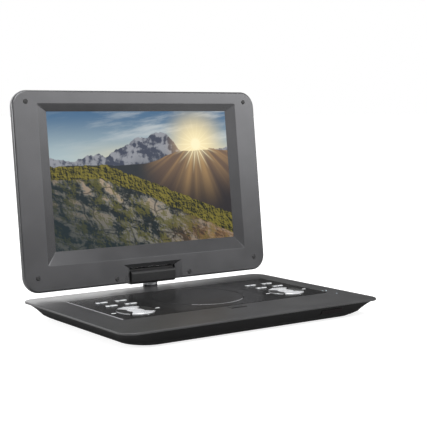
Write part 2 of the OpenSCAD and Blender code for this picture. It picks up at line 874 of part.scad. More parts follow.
module back_skin() {
    hull() {
        thin_slab(screen_w, screen_h, screen_r, 0, bezel_t);
        thin_slab(screen_w - 2 * back_inset, screen_h - back_inset - back_low, screen_r, back_low,
            screen_t - eps);
    }
    for (s = [-1, 1]) bar_x(min(s * notch_w / 2, s * barrel_x1), max(s * notch_w / 2, s * barrel_x1),
        hinge_d, hinge_v, barrel_r);
}

module back_hollow() {
    hull() {
        thin_slab(screen_w - 2.5 * wall, screen_h - 2.5 * wall, screen_r - wall, 1.25 * wall, bezel_t - eps);
        thin_slab(screen_w - 2 * back_inset - 3 * wall, screen_h - back_inset - back_low - 2.5 * wall,
            screen_r - wall, back_low + 1.25 * wall, screen_t - wall);
    }
}

module screen_back_cover() {
    color("#303034") in_screen() difference() {
        union() {
            difference() {
                back_skin();
                back_hollow();
                for (s = [-1, 1]) bar_x(s * 50 - 10.4, s * 50 + 10.4, hinge_d, hinge_v, barrel_r - 1.6);
            }
            difference() {
                box([-notch_w / 2 - wall, bezel_t, back_low + 2],
                    [notch_w / 2 + wall, screen_t - 1, notch_v + wall]);
                for (s = [-1, 1]) box([min(s * 39, s * 70), bezel_t, -1], [max(s * 39, s * 70), screen_t, 30]);
            }
            for (x = [-120, 120], v = [80, 200]) stud([x, v], 4, lcd_back, screen_t - 0.5);
            for (s = [-1, 1]) stud([s * 70, 53], 4, 16, screen_t - 0.5);
            intersection() {
                back_skin();
                for (at = dot_at) stud(at, 3.2, bezel_t, screen_t - 1.5);
            }
        }
        notch();
        slab(screen_w + 10, screen_h + 10, 1, -5, -1, bezel_t);
        for (at = dot_at) stud(at, tap_r, bezel_t - 1, 11.5);
        bar_x(-41, 41, hinge_d, hinge_v, tilt_r + 0.4);
        stud([-70, 53], tap_r, 15, 18.2);
        stud([70, 53], tap_r, 15, 18.2);
    }
}

module lcd_panel() {
    color("#3d6fb0") in_screen()
        slab(picture_w + 7, picture_h + 7, 0.5, picture_v - 3.5, recess_d, recess_d + lcd_t);
}

module backlight_unit() {
    color("#c2c4c8") in_screen()
        slab(picture_w + 9, picture_h + 12, 1, picture_v - 6, recess_d + lcd_t, lcd_back);
}

module bezel_screws() {
    color("#8a8a90") in_screen() for (at = dot_at) union() {
        stud(at, shank_r, 1.4, 11);
        stud(at, 2.8, 1.4, 3);
    }
}

module screw_covers() {
    color("#151517") in_screen() for (at = dot_at) union() {
        stud(at, 3, 0, 1.4);
        translate([at[0], 0, at[1]]) rotate([90, 0, 0]) cylinder(h = 0.6, r1 = 3, r2 = 2.2);
    }
}

base_bottom_shell();
base_top_shell();
disc_well();
disc_lid();
lid_latch();
loader_frame();
loader_dampers();
loader_screws();
spindle_motor();
spindle_hub();
guide_rods();
pickup_sled();
lead_screw();
sled_motor();
main_board();
battery_pack();
key_board(-1, left_keys);  // left_key_board
key_board(1, right_keys);  // right_key_board
speaker(-speaker_x);  // left_speaker
speaker(speaker_x);  // right_speaker
for (i = [0:3]) {
    pill_key(left_keys[i]);
    pill_key(right_keys[i]);
}
nav_ring(-1);  // left_nav_ring
ok_key(-1);  // left_ok_key
nav_ring(1);  // right_nav_ring
ok_key(1);  // right_ok_key
jack(headphone_y, "#202022");  // headphone_jack
jack(av_y, "#d8b53a");  // av_jack
dc_inlet();
usb_port();
card_slot();
power_switch();
power_knob();
volume_pot();
volume_wheel();
ir_window();
indicator_lights();
rubber_feet();
case_screws();
swivel_bracket();
swivel_shaft();
swivel_washer();
swivel_clip();
hinge_block();
tilt_shafts();
tilt_nuts();
hinge_cable();
tilt_brackets();
screen_bezel();
screen_back_cover();
lcd_panel();
backlight_unit();
bezel_screws();
screw_covers();
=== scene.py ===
"""Portable DVD player with a swivel screen: smooth meshes, materials, light and camera
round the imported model."""

import math

import bmesh
import bpy
from mathutils import Matrix, Vector


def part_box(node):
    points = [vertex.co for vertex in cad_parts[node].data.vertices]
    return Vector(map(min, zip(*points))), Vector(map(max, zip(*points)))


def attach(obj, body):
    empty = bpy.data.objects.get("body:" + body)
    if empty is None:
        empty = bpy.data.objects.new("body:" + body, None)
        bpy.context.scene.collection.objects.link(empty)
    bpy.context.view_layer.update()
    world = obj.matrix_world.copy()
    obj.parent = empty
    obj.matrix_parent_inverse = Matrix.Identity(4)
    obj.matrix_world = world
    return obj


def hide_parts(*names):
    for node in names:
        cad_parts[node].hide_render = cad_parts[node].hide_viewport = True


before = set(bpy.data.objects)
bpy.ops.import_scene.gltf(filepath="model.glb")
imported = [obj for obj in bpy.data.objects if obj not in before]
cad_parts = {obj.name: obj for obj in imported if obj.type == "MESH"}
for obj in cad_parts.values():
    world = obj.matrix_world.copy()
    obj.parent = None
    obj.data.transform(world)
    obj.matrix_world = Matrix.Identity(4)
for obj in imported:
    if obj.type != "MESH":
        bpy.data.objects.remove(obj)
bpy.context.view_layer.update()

MM = 0.001  # shapes are worked out in millimetres and scaled at the end
ARC = 14  # points in a quarter round of a large corner
SHARP_ANGLE = 30  # edges that turn by more degrees than this are shaded as sharp


# ---------------------------------------------------------------- numbers taken from the frame

def box_mm(node):
    """Lowest and highest corner of a CAD node, in millimetres."""
    low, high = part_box(node)
    return low / MM, high / MM


def middle_mm(node):
    low, high = box_mm(node)
    return (low + high) / 2


top_low, top_high = box_mm("base_top_shell")

BASE_W = top_high.x - top_low.x
BASE_D = -2 * top_low.y  # the top shell's box also holds the hinge tower at the back
BASE_R = 18
SIDE_INSET = 23.5
END_INSET = 16
WALL = 2
FOOT_H = 2
FLOOR_Z = FOOT_H + WALL
PARTING_Z = 20
KNEE_Z = 7  # where the steep flare starts; insets and corner radius there
KNEE_SIDE, KNEE_END, KNEE_R = 15, 10, 30
FOOT_R = 33
FLARE_STEPS = 18
RIM_Z = 23
DECK_Z = box_mm("disc_lid")[1].z
DECK_T = 2.2
DECK_UNDER = DECK_Z - DECK_T
LIP = 3

PANEL_W = 316
PANEL_FRONT = -66
PANEL_BACK = 75
PANEL_Y = (PANEL_FRONT + PANEL_BACK) / 2
PANEL_D = PANEL_BACK - PANEL_FRONT

LID_X = 77
DISC_Y = middle_mm("spindle_hub").y
RING_R = 60
LATCH_W, LATCH_D = 24, 8
LATCH_Y = -74.5
LATCH_TRAVEL = 2.5

BAY_X = BASE_W / 2 - 17
BAY_Y = (-84, 58)
BAY_Z = (6, 18)
PORT_Z = middle_mm("usb_port").z

CASE_SCREWS = ((-150, -92), (150, -92), (-150, 92), (150, 92),
               (-55, -98), (55, -98), (-55, 98), (55, 98))
LEFT_KEYS = [middle_mm(f"left_key_{i}") for i in range(1, 5)]
RIGHT_KEYS = [middle_mm(f"right_key_{i}") for i in range(1, 5)]
NAV_KEYS = [middle_mm(f"{side}_nav_ring") for side in ("left", "right")]
PILL_L, PILL_W = 16.5, 5
NAV_R = 24
KEY_TOP = 26.2
KEY_LOW = 21.3
STEP = 0.45  # how far the raised panel stands above the slopes round it
LAMPS = ((161.5, -52), (168, -52), (165, -76))

HUMP_R, HUMP_FRONT, BLOCK_UP = 11.6, 4, 8.5

LEAN = math.radians(7.1)
HINGE_Y = middle_mm("tilt_shafts").y
HINGE_Z = middle_mm("tilt_shafts").z
HINGE_V, HINGE_D = 8, 10.5
SCREEN_W, SCREEN_H, SCREEN_R, SCREEN_T = 391, 262, 22, 20
BEZEL_T = 6
RECESS = 5.4
SLOPE_W = 320
SLOPE_V = (33.5, 244.5)
PICTURE_W, PICTURE_H, PICTURE_V = 290, 183.5, 51
NOTCH_W, NOTCH_V = 74, 20
BEVEL_W, BEVEL_V, BEVEL_D = 94, 25.5, 3.4
PICTURE_WIDE = 1.58  # the width of the picture in heights
DOTS = ((-176, 247), (176, 247), (-176, 19), (176, 19), (-59, 7.3), (59, 7.3))

CAMERA_PLACE = (-0.786, -1.1039, 0.2678)
CAMERA_DIP, CAMERA_TURN = 5.83, -35.6  # degrees below the horizon, and about the vertical
CAMERA_LENS, CAMERA_SHIFT = 89.5, (0.0206, 0.008)
FLOOR_SIZE = 30
FLOOR_GREY = 0.50  # in reflections and for light
FLOOR_GLOW = 0.80  # added for the camera alone

TO_SCREEN = (
    Matrix.Translation((0, HINGE_Y, HINGE_Z))
    @ Matrix.Rotation(-LEAN, 4, "X")
    @ Matrix.Translation((0, -HINGE_D, -HINGE_V))
)


# ---------------------------------------------------------------- camera, light and floor

def aim_camera():
    camera = bpy.data.objects.new("camera", bpy.data.cameras.new("camera"))
    bpy.context.scene.collection.objects.link(camera)
    camera.data.sensor_width = 36
    camera.data.lens = CAMERA_LENS
    camera.data.shift_x, camera.data.shift_y = CAMERA_SHIFT
    camera.data.clip_start = 0.05
    camera.data.clip_end = 60
    camera.location = CAMERA_PLACE
    camera.rotation_euler = (math.radians(90 - CAMERA_DIP), 0, math.radians(CAMERA_TURN))
    bpy.context.scene.camera = camera


def area_light(name, place, target, size, power, colour=(1, 1, 1)):
    light = bpy.data.lights.new(name, "AREA")
    light.shape = "RECTANGLE"
    light.size, light.size_y = size
    light.energy = power
    light.color = colour
    lamp = bpy.data.objects.new(name, light)
    bpy.context.scene.collection.objects.link(lamp)
    lamp.location = place
    lamp.rotation_mode = "QUATERNION"
    lamp.rotation_quaternion = (Vector(target) - Vector(place)).to_track_quat("-Z", "Y")
    lamp.visible_camera = False
    return lamp


def light_world():
    """White to the camera; to everything else a dim studio with a soft panel in front on the right,
    a white backdrop behind, which ends on the right, and light from overhead."""
    world = bpy.data.worlds.new("studio")
    bpy.context.scene.world = world
    world.use_nodes = True
    tree = world.node_tree
    tree.nodes.clear()
    out = tree.nodes.new("ShaderNodeOutputWorld")
    direction = Number(tree, tree.nodes.new("ShaderNodeTexCoord").outputs["Generated"])
    x, y, z = direction.parts()
    overhead = z.soft(0.30, 0.90)
    backdrop = x.soft(0.60, 0.49) * y.soft(0.50, 0.80) * z.soft(0.75, 0.30)
    panel = (x * 0.55 - y * 0.83).soft(0.62, 0.90) * z.soft(0.05, 0.23) * z.soft(0.48, 0.30)
    panel = panel * x.soft(0.36, 0.64).between(0.40, 1.0)
    seen = overhead * 0.7 + backdrop * 2.2 + panel * 4.0 + 0.08
    ray = Number(tree, tree.nodes.new("ShaderNodeLightPath").outputs["Is Camera Ray"])
    strength = ray * 1.0 + (1 - ray) * seen
    light = tree.nodes.new("ShaderNodeBackground")
    light.inputs["Color"].default_value = (1, 1, 1, 1)
    tree.links.new(strength.socket, light.inputs["Strength"])
    tree.links.new(light.outputs[0], out.inputs[0])


def lay_floor():
    mesh = bpy.data.meshes.new("floor")
    corners = [(x * FLOOR_SIZE, y * FLOOR_SIZE, 0) for x, y in ((-1, -1), (1, -1), (1, 1), (-1, 1))]
    mesh.from_pydata(corners, [], [(0, 1, 2, 3)])
    floor = bpy.data.objects.new("floor", mesh)
    bpy.context.scene.collection.objects.link(floor)
    paint = bpy.data.materials.new("pale_floor")
    paint.use_nodes = True
    tree = paint.node_tree
    shader = tree.nodes["Principled BSDF"]
    shader.inputs["Base Color"].default_value = (FLOOR_GREY, FLOOR_GREY, FLOOR_GREY, 1)
    shader.inputs["Roughness"].default_value = 0.9
    shader.inputs["Specular IOR Level"].default_value = 0.1
    shader.inputs["Emission Color"].default_value = (1, 1, 1, 1)
    seen = Number(tree, tree.nodes.new("ShaderNodeLightPath").outputs["Is Camera Ray"]) * FLOOR_GLOW
    tree.links.new(seen.socket, shader.inputs["Emission Strength"])
    mesh.materials.append(paint)


# ---------------------------------------------------------------- node arithmetic

class Number:
    """A value in a node tree; arithmetic on it adds Math nodes."""

    def __init__(self, tree, socket):
        self.tree = tree
        self.socket = socket

    def math(self, operation, *others):
        node = self.tree.nodes.new("ShaderNodeMath")
        node.operation = operation
        for slot, value in zip(node.inputs, (self, *others)):
            if isinstance(value, Number):
                self.tree.links.new(value.socket, slot)
            else:
                slot.default_value = value
        return Number(self.tree, node.outputs[0])

    def __add__(self, other):
        return self.math("ADD", other)

    __radd__ = __add__

    def __mul__(self, other):
        return self.math("MULTIPLY", other)

    __rmul__ = __mul__

    def __sub__(self, other):
        return self.math("SUBTRACT", other)

    def __rsub__(self, other):
        return (self * -1) + other

    def __truediv__(self, other):
        return self.math("DIVIDE", other)

    def __pow__(self, other):
        return self.math("POWER", other)

    def parts(self):
        node = self.tree.nodes.new("ShaderNodeSeparateXYZ")
        self.tree.links.new(self.socket, node.inputs[0])
        return [Number(self.tree, s) for s in node.outputs]

    def soft(self, low, high):
        """0 below low, 1 above high and smooth in between; low may be above high."""
        node = self.tree.nodes.new("ShaderNodeMapRange")
        node.interpolation_type = "SMOOTHSTEP"
        rising = low < high
        self.tree.links.new(self.socket, node.inputs["Value"])
        node.inputs["From Min"].default_value = min(low, high)
        node.inputs["From Max"].default_value = max(low, high)
        node.inputs["To Min"].default_value = 0.0 if rising else 1.0
        node.inputs["To Max"].default_value = 1.0 if rising else 0.0
        return Number(self.tree, node.outputs[0])

    def between(self, low, high):
        """Maps 0..1 onto low..high."""
        return self * (high - low) + low


def vector(tree, x, y, z=0.0):
    node = tree.nodes.new("ShaderNodeCombineXYZ")
    for slot, value in zip(node.inputs, (x, y, z)):
        if isinstance(value, Number):
            tree.links.new(value.socket, slot)
        else:
            slot.default_value = value
    return node.outputs[0]


def noise(tree, place, scale, detail=4.0, rough=0.5):
    node = tree.nodes.new("ShaderNodeTexNoise")
    tree.links.new(place, node.inputs["Vector"])
    node.inputs["Scale"].default_value = scale
    node.inputs["Detail"].default_value = detail
    node.inputs["Roughness"].default_value = rough
    return Number(tree, node.outputs[0])


def cells(tree, place, scale, feature="F1", randomness=1.0):
    node = tree.nodes.new("ShaderNodeTexVoronoi")
    node.feature = feature
    tree.links.new(place, node.inputs["Vector"])
    node.inputs["Scale"].default_value = scale
    node.inputs["Randomness"].default_value = randomness
    return Number(tree, node.outputs["Distance"])


def blend_colours(tree, share, first, second):
    """first where share is 0 and second where it is 1; each is a colour or a socket."""
    node = tree.nodes.new("ShaderNodeMix")
    node.data_type = "RGBA"
    slots = [s for s in node.inputs if s.type == "RGBA"]
    factor = node.inputs["Factor"]
    if isinstance(share, Number):
        tree.links.new(share.socket, factor)
    else:
        factor.default_value = share
    for slot, value in zip(slots, (first, second)):
        if isinstance(value, tuple):
            slot.default_value = (*value, 1)
        else:
            tree.links.new(value, slot)
    return next(s for s in node.outputs if s.type == "RGBA")


# ---------------------------------------------------------------- materials

def grey(level):
    return (level, level, level * 1.04)


def surface(name, colour, roughness, spread=0.12, smudge=0.05, grain=5000, height=0.02, patches=30,
            stretch=(1, 1, 1), **sockets):
    """A moulded, drawn or cast surface: its colour and roughness drift over it in patches, and it
    has a fine grain."""
    made = bpy.data.materials.new(name)
    made.use_nodes = True
    tree = made.node_tree
    shader = tree.nodes["Principled BSDF"]
    for key, value in sockets.items():
        shader.inputs[key.replace("_", " ")].default_value = value
    place = tree.nodes.new("ShaderNodeTexCoord").outputs["Object"]
    mapping = tree.nodes.new("ShaderNodeMapping")
    mapping.inputs["Scale"].default_value = stretch
    tree.links.new(place, mapping.inputs["Vector"])
    along = mapping.outputs[0]
    drift = noise(tree, place, patches, 3.0)
    fine = noise(tree, along, grain, 2.0, 0.6)
    dark = tuple(c * (1 - spread) for c in colour)
    light = tuple(min(1.0, c * (1 + spread)) for c in colour)
    mixed = blend_colours(tree, drift.soft(0.3, 0.7), dark, light)
    tree.links.new(mixed, shader.inputs["Base Color"])
    rough = drift * smudge * 2 + fine * smudge + (roughness - smudge * 1.5)
    tree.links.new(rough.socket, shader.inputs["Roughness"])
    bump = tree.nodes.new("ShaderNodeBump")
    bump.inputs["Strength"].default_value = 1.0
    bump.inputs["Distance"].default_value = height * MM
    tree.links.new(fine.socket, bump.inputs["Height"])
    tree.links.new(bump.outputs[0], shader.inputs["Normal"])
    return made


def add_tracks(board):
    """Copper tracks under a board's solder mask, and small pads."""
    tree = board.node_tree
    shader = tree.nodes["Principled BSDF"]
    place = tree.nodes["Texture Coordinate"].outputs["Object"]
    track = cells(tree, place, 160, "DISTANCE_TO_EDGE").soft(0.10, 0.04)
    pads = cells(tree, place, 420, "F1", 0.4).soft(0.22, 0.16)
    green = shader.inputs["Base Color"].links[0].from_socket
    tracked = blend_colours(tree, track * 0.6, green, (0.05, 0.30, 0.10))
    padded = blend_colours(tree, pads * 0.5, tracked, (0.55, 0.45, 0.25))
    tree.links.new(padded, shader.inputs["Base Color"])


def landscape(name, low, high, up):
    """The picture on the panel: a made-up mountain sunrise, shining through the front glass."""
    made = bpy.data.materials.new(name)
    made.use_nodes = True
    tree = made.node_tree
    shader = tree.nodes["Principled BSDF"]
    place = Number(tree, tree.nodes.new("ShaderNodeTexCoord").outputs["Object"])
    x, y, z = place.parts()
    u = (x - low.x) / (high.x - low.x)
    rise = y * up.y + z * up.z
    start = low.dot(up)
    v = (rise - start) / ((high - low).dot(up))
    flat = vector(tree, u * PICTURE_WIDE, v)

    def ridge(level, swing, scale, seed):
        line = noise(tree, vector(tree, u * scale, seed), 1.0, 6.0, 0.55)
        return (line - 0.5) * swing * 2 + level

    def relief(place_x, place_y, scale, seed):
        """Noise lit from the upper right: 0 on the shaded sides and 1 on the lit ones."""
        here = noise(tree, vector(tree, place_x, place_y, seed), scale, 7.0, 0.58)
        moved = vector(tree, place_x + 0.16 / scale, place_y + 0.13 / scale, seed)
        there = noise(tree, moved, scale, 7.0, 0.58)
        return ((here - there) * 5.0 + 0.5).math("MINIMUM", 1.0).math("MAXIMUM", 0.0)

    # sky: blue above, warm and bright round the sun and along the horizon, with thin clouds
    sun_u, sun_v = 0.80, 0.735
    du, dv = (u - sun_u) * PICTURE_WIDE, v - sun_v
    distance = (du * du + dv * dv) ** 0.5
    sky = blend_colours(tree, v.soft(0.60, 1.0), (0.40, 0.50, 0.52), (0.05, 0.13, 0.24))
    slanted = vector(tree, u * 1.6 + v * 0.8, v * 7.0 - u * 1.4, 3.0)
    streaks = noise(tree, slanted, 1.7, 6.0, 0.6).soft(0.44, 0.72)
    sky = blend_colours(tree, streaks * u.soft(-0.2, 0.8) * 0.75, sky, (0.60, 0.63, 0.62))
    horizon = v.soft(0.80, 0.62) * u.soft(0.05, 0.45)
    sky = blend_colours(tree, horizon * 0.55, sky, (0.75, 0.60, 0.30))
    sky = blend_colours(tree, distance.soft(0.34, 0.02) * 0.85, sky, (1.0, 0.80, 0.40))

    # far peaks, bare grey rock with pale faces, highest right of the middle
    climb = (u - 0.20).soft(0.0, 0.40) * 0.16
    fall = (u - 0.615).soft(0.0, 0.12) * 0.13
    far = ridge(0.655, 0.085, 9.0, 1.7) + climb - fall
    face = relief(u * PICTURE_WIDE, v, 7.0, 5.0)
    peaks = blend_colours(tree, face.soft(0.25, 0.80), (0.045, 0.055, 0.085), (0.27, 0.28, 0.31))
    peaks = blend_colours(tree, (far - v).soft(0.10, 0.30), peaks, (0.05, 0.06, 0.08))
    peaks = blend_colours(tree, distance.soft(0.30, 0.05) * 0.60, peaks, (0.85, 0.55, 0.24))
    picture = blend_colours(tree, (far - v).soft(-0.002, 0.004), sky, peaks)

    # hazy slopes on the right, dark at their foot and lit near the sun
    haze_line = ridge(0.60, 0.03, 4.0, 8.3) + u.soft(0.50, 0.72) * 0.09
    haze = blend_colours(tree, v.soft(0.30, 0.74), (0.020, 0.017, 0.018), (0.16, 0.10, 0.065))
    haze = blend_colours(tree, u.soft(0.62, 0.45), haze, (0.020, 0.026, 0.030))
    beams = noise(tree, vector(tree, du / (dv - 0.06), 0.0, 1.0), 2.2, 3.0).soft(0.40, 0.66)
    haze = blend_colours(tree, beams * distance.soft(0.55, 0.05) * 0.55, haze, (0.62, 0.38, 0.14))
    picture = blend_colours(tree, (haze_line - v).soft(-0.002, 0.004), picture, haze)

    # a belt of shrubs that falls away to the right
    fall_line = 0.60 - (u - 0.30).math("MAXIMUM", 0.0) * 0.58
    belt_line = ridge(0.0, 0.030, 24.0, 2.9) + fall_line
    leaf = relief(u * PICTURE_WIDE, v, 30.0, 2.0)
    tone = noise(tree, flat, 9.0, 3.0)
    lit_leaf = (leaf * 0.6 + tone * 0.5).soft(0.30, 0.80)
    shrub = blend_colours(tree, lit_leaf, (0.005, 0.009, 0.003), (0.19, 0.16, 0.022))
    picture = blend_colours(tree, (belt_line - v).soft(-0.002, 0.004), picture, shrub)

    # nearest: broad rocks, teal in the shade on the left and warm where the light rakes them
    bend = noise(tree, flat, 3.0, 3.0)
    rock_line = ridge(0.0, 0.045, 7.0, 4.1) + fall_line - 0.085 - u * 0.06
    big = relief(u * PICTURE_WIDE + bend * 0.3, v * 1.5 + u * 0.45, 4.2, 7.0)
    fine = relief(u * PICTURE_WIDE, v * 1.5 + u * 0.45, 17.0, 9.0)
    lit = big * 0.65 + fine * 0.35
    stone = blend_colours(tree, lit.soft(0.30, 0.78), (0.010, 0.017, 0.018), (0.20, 0.19, 0.16))
    pale = big.soft(0.70, 0.95) * v.soft(0.10, 0.45) * 0.8
    stone = blend_colours(tree, pale, stone, (0.40, 0.30, 0.21))
    bent = vector(tree, u * PICTURE_WIDE + bend * 0.5, v * 1.7 + u * 0.5)
    crack = cells(tree, bent, 4.6, "DISTANCE_TO_EDGE").soft(0.045, 0.0)
    stone = blend_colours(tree, crack * 0.75, stone, (0.006, 0.009, 0.008))
    moss = (tone + leaf * 0.25).soft(0.62, 0.74)
    stone = blend_colours(tree, moss * 0.8, stone, (0.10, 0.095, 0.02))
    gold = (u * 0.9 - v * 0.5).soft(0.42, 0.86) * fine.between(0.3, 1.0)
    stone = blend_colours(tree, gold * 0.60, stone, (0.34, 0.17, 0.06))
    shadow = (u * 0.75 + v * 0.55).soft(0.52, 0.12)
    stone = blend_colours(tree, shadow * 0.72, stone, (0.010, 0.022, 0.026))
    picture = blend_colours(tree, (rock_line - v).soft(-0.003, 0.006), picture, stone)

    # the sun itself, with rays that fall below it
    angle = dv.math("ARCTAN2", du)
    spokes = ((angle * 9.0).math("COSINE").math("ABSOLUTE")) ** 22.0
    rays = spokes * distance.soft(0.24, 0.01) * dv.soft(0.10, -0.04).between(0.25, 1.0)
    disc = distance.soft(0.055, 0.015)
    glow = distance.soft(0.22, 0.0) ** 2.0
    light = (rays * 0.9 + disc + glow * 0.55).math("MINIMUM", 1.0)
    picture = blend_colours(tree, light, picture, (1.0, 0.90, 0.58))

    tree.links.new(picture, shader.inputs["Emission Color"])
    shader.inputs["Emission Strength"].default_value = 1.0
    shader.inputs["Base Color"].default_value = (0.01, 0.01, 0.012, 1)
    shader.inputs["Specular IOR Level"].default_value = 0.1
    bump = tree.nodes.new("ShaderNodeBump")
    bump.inputs["Distance"].default_value = 0.002 * MM
    grain = noise(tree, place.socket, 5000)
    tree.links.new(grain.socket, bump.inputs["Height"])
    tree.links.new(bump.outputs[0], shader.inputs["Normal"])
    rough = grain * 0.04 + 0.16
    tree.links.new(rough.socket, shader.inputs["Roughness"])
    return made


def make_materials():
    dull = dict(Specular_IOR_Level=0.15)
    metal = dict(Metallic=1.0)
    looks = {
        "deck_plastic": (grey(0.036), 0.36, dict(grain=2600, height=0.010)),
        "panel_plastic": (grey(0.006), 0.24, dict(dull, grain=2600, height=0.006)),
        "lid_plastic": (grey(0.013), 0.24, dict(dull, grain=2600, height=0.006)),
        "shell_plastic": (grey(0.008), 0.48, dict(dull, smudge=0.06, grain=2200, height=0.02)),
        "bezel_plastic": (grey(0.10), 0.24, dict(spread=0.05, smudge=0.03, grain=2600,
                                                 height=0.004, Metallic=0.7)),
        "cover_plastic": (grey(0.020), 0.46, dict(smudge=0.06, grain=2000, height=0.03)),
        "hinge_plastic": (grey(0.014), 0.42, dict(grain=2400, height=0.02)),
        "key_plastic": ((0.72, 0.73, 0.75), 0.28, dict(spread=0.04, grain=3000, height=0.004,
                                                       Metallic=0.3)),
        "black_plastic": (grey(0.010), 0.40, dict(grain=3000, height=0.015)),
        "av_plastic": ((0.62, 0.42, 0.04), 0.40, dict(grain=3000, height=0.01)),
        "window_plastic": ((0.004, 0.001, 0.002), 0.20, dict(dull, smudge=0.02, height=0.004)),
        "lamp_plastic": ((0.62, 0.72, 0.78), 0.25, dict(height=0.005, Transmission_Weight=0.35)),
        "well_plastic": (grey(0.030), 0.50, dict(grain=1800, height=0.03)),
        "light_unit": ((0.70, 0.71, 0.72), 0.40, dict(grain=1500, height=0.01)),
        "rubber": (grey(0.012), 0.75, dict(grain=2500, height=0.04)),
        "steel": ((0.60, 0.61, 0.62), 0.26, dict(metal, grain=900, height=0.006, stretch=(1, 8, 8))),
        "screw_steel": ((0.30, 0.30, 0.31), 0.38, dict(metal, grain=2500, height=0.01)),
        "bracket_steel": ((0.40, 0.41, 0.42), 0.40, dict(metal, grain=1600, height=0.01)),
        "motor_steel": ((0.50, 0.50, 0.51), 0.32, dict(metal, grain=1400, height=0.008)),
        "tin_plate": ((0.58, 0.59, 0.60), 0.30, dict(metal, grain=2000, height=0.006)),
        "circuit_board": ((0.02, 0.16, 0.06), 0.35, dict(grain=900, height=0.02)),
        "cell_foil": ((0.05, 0.14, 0.34), 0.35, dict(grain=600, height=0.03)),
        "cable_jacket": (grey(0.015), 0.50, dict(grain=2500, height=0.02)),
    }
    made = {name: surface(name, colour, roughness, **rest)
            for name, (colour, roughness, rest) in looks.items()}
    add_tracks(made["circuit_board"])
    return made


# ---------------------------------------------------------------- mesh making

def outline(w, d, r, steps=ARC):
    """Rectangle with round corners, centred, anticlockwise."""
    points = []
    for quarter, (sx, sy) in enumerate(((1, 1), (-1, 1), (-1, -1), (1, -1))):
        for i in range(steps + 1):
            a = math.radians(90 * quarter + 90 * i / steps)
            points.append((sx * (w / 2 - r) + r * math.cos(a), sy * (d / 2 - r) + r * math.sin(a)))
    return points


def drawn_in(w, d, r, inset):
    """Outline of the same rectangle pulled in by inset, and its corner radius with it."""
    return outline(w - 2 * inset, d - 2 * inset, r - inset)


def ring(r, steps=64):
    turns = [2 * math.pi * i / steps for i in range(steps)]
    return [(r * math.cos(a), r * math.sin(a)) for a in turns]


def level(points, z, at=(0, 0)):
    """An outline laid flat at height z."""
    return [(at[0] + x, at[1] + y, z) for x, y in points]


def upright(points, depth, v):
    """An outline stood up in the screen's frame at that depth, its middle at height v."""
    return [(x, depth, v + y) for x, y in points]


def loft(shape, rings, closed=False):
    """Adds the skin through the rings, which all have the same number of points. It is capped
    unless closed."""
    rows = [[shape.verts.new(p) for p in points] for points in rings]
    pairs = list(zip(rows, rows[1:]))
    if closed:
        pairs.append((rows[-1], rows[0]))
    for a, b in pairs:
        for i in range(len(a)):
            j = (i + 1) % len(a)
            shape.faces.new((a[i], a[j], b[j], b[i]))
    if not closed:
        shape.faces.new(rows[0][::-1])
        shape.faces.new(rows[-1])


def solid(rings, closed=False):
    shape = bmesh.new()
    loft(shape, rings, closed)
    bmesh.ops.recalc_face_normals(shape, faces=shape.faces)
    return shape


def slab(low, high):
    """Plain box, used as a cutter or as a part of a larger piece."""
    w, d = high[0] - low[0], high[1] - low[1]
    at = ((low[0] + high[0]) / 2, (low[1] + high[1]) / 2)
    corners = [(w / 2, d / 2), (-w / 2, d / 2), (-w / 2, -d / 2), (w / 2, -d / 2)]
    return solid([level(corners, low[2], at), level(corners, high[2], at)])


def turned(profile, at, axis="Z", steps=64):
    """Solid of revolution through (radius, height) pairs, standing at a point, about X, Y or Z."""
    shape = solid([level(ring(r, steps), h) for r, h in profile])
    turn = {
        "X": Matrix.Rotation(math.pi / 2, 4, "Y"),
        "Y": Matrix.Rotation(-math.pi / 2, 4, "X"),
        "Z": Matrix.Identity(4),
    }
    bmesh.ops.transform(shape, matrix=Matrix.Translation(at) @ turn[axis], verts=shape.verts)
    return shape


def rod(at, r, length, axis="Z", steps=48, edge=0.0):
    """Round bar whose length runs from at along the axis, its ends eased by edge."""
    if edge:
        profile = [(r - edge, 0), (r, edge), (r, length - edge), (r - edge, length)]
    else:
        profile = [(r, 0), (r, length)]
    return turned(profile, at, axis, steps)


def joined(*shapes):
    """One bmesh with all the shapes in it."""
    whole = bmesh.new()
    for shape in shapes:
        mesh = bpy.data.meshes.new("part")
        shape.to_mesh(mesh)
        shape.free()
        whole.from_mesh(mesh)
        bpy.data.meshes.remove(mesh)
    return whole


def placed(shape, matrix):
    bmesh.ops.transform(shape, matrix=matrix, verts=shape.verts)
    return shape


def scratch(shape):
    """A throwaway object that holds a shape, for the boolean tools."""
    mesh = bpy.data.meshes.new("scratch")
    shape.to_mesh(mesh)
    shape.free()
    made = bpy.data.objects.new("scratch", mesh)
    bpy.context.scene.collection.objects.link(made)
    return made


def carved(shape, *steps):
    """The shape after boolean steps, each a pair of an operation and a shape."""
    body = scratch(shape)
    tools = []
    for operation, tool in steps:
        other = scratch(tool)
        tools.append(other)
        cut = body.modifiers.new("cut", "BOOLEAN")
        cut.operation = operation
        cut.solver = "EXACT"
        cut.object = other
    result = bmesh.new()
    graph = bpy.context.evaluated_depsgraph_get()
    made = bpy.data.meshes.new_from_object(body.evaluated_get(graph))
    result.from_mesh(made)
    bpy.data.meshes.remove(made)
    for gone in (body, *tools):
        data = gone.data
        bpy.data.objects.remove(gone)
        bpy.data.meshes.remove(data)
    bmesh.ops.remove_doubles(result, verts=result.verts, dist=0.001)
    bmesh.ops.dissolve_degenerate(result, edges=result.edges, dist=0.0005)
    return result


def soften(made, width, angle=28):
    """Eased edges, wherever two faces meet at more than that many degrees."""
    edge = made.modifiers.new("edges", "BEVEL")
    edge.limit_method = "ANGLE"
    edge.angle_limit = math.radians(angle)
    edge.width = width * MM
    edge.segments = 2
    edge.use_clamp_overlap = True
    edge.miter_outer = "MITER_ARC"
    normals = made.modifiers.new("normals", "WEIGHTED_NORMAL")
    normals.keep_sharp = True
    normals.weight = 80


